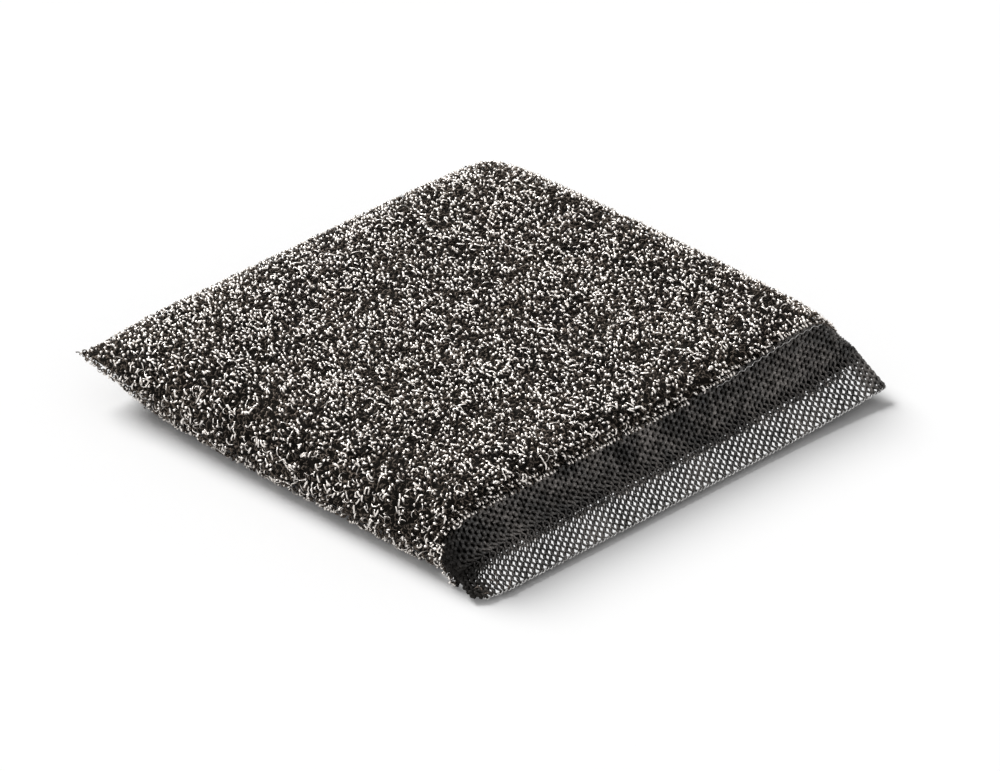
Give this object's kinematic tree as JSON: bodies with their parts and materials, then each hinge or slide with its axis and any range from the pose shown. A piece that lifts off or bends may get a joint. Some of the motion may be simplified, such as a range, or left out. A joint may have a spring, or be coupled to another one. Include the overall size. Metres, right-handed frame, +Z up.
{
  "type": "scrub pad",
  "caption": "Square foam scrub pad in a knitted looped-pile sleeve, with a plain open-net flap along one side.",
  "frame": {"origin": "under the middle of the pad, on the surface that it rests on", "axes": "+X across the knitted tube, +Y along it from the plain net end to the turned seam, +Z up"},
  "size_m": [0.1024, 0.0996, 0.0158],
  "materials": {
    "knit_sleeve": "charcoal looped pile with fine silver-white film loops, and a plain dark net end",
    "foam_core": "black open foam"
  },
  "bodies": {
    "root": {"knit_sleeve": "knit_sleeve", "foam_core": "foam_core"}
  },
  "joints": []
}
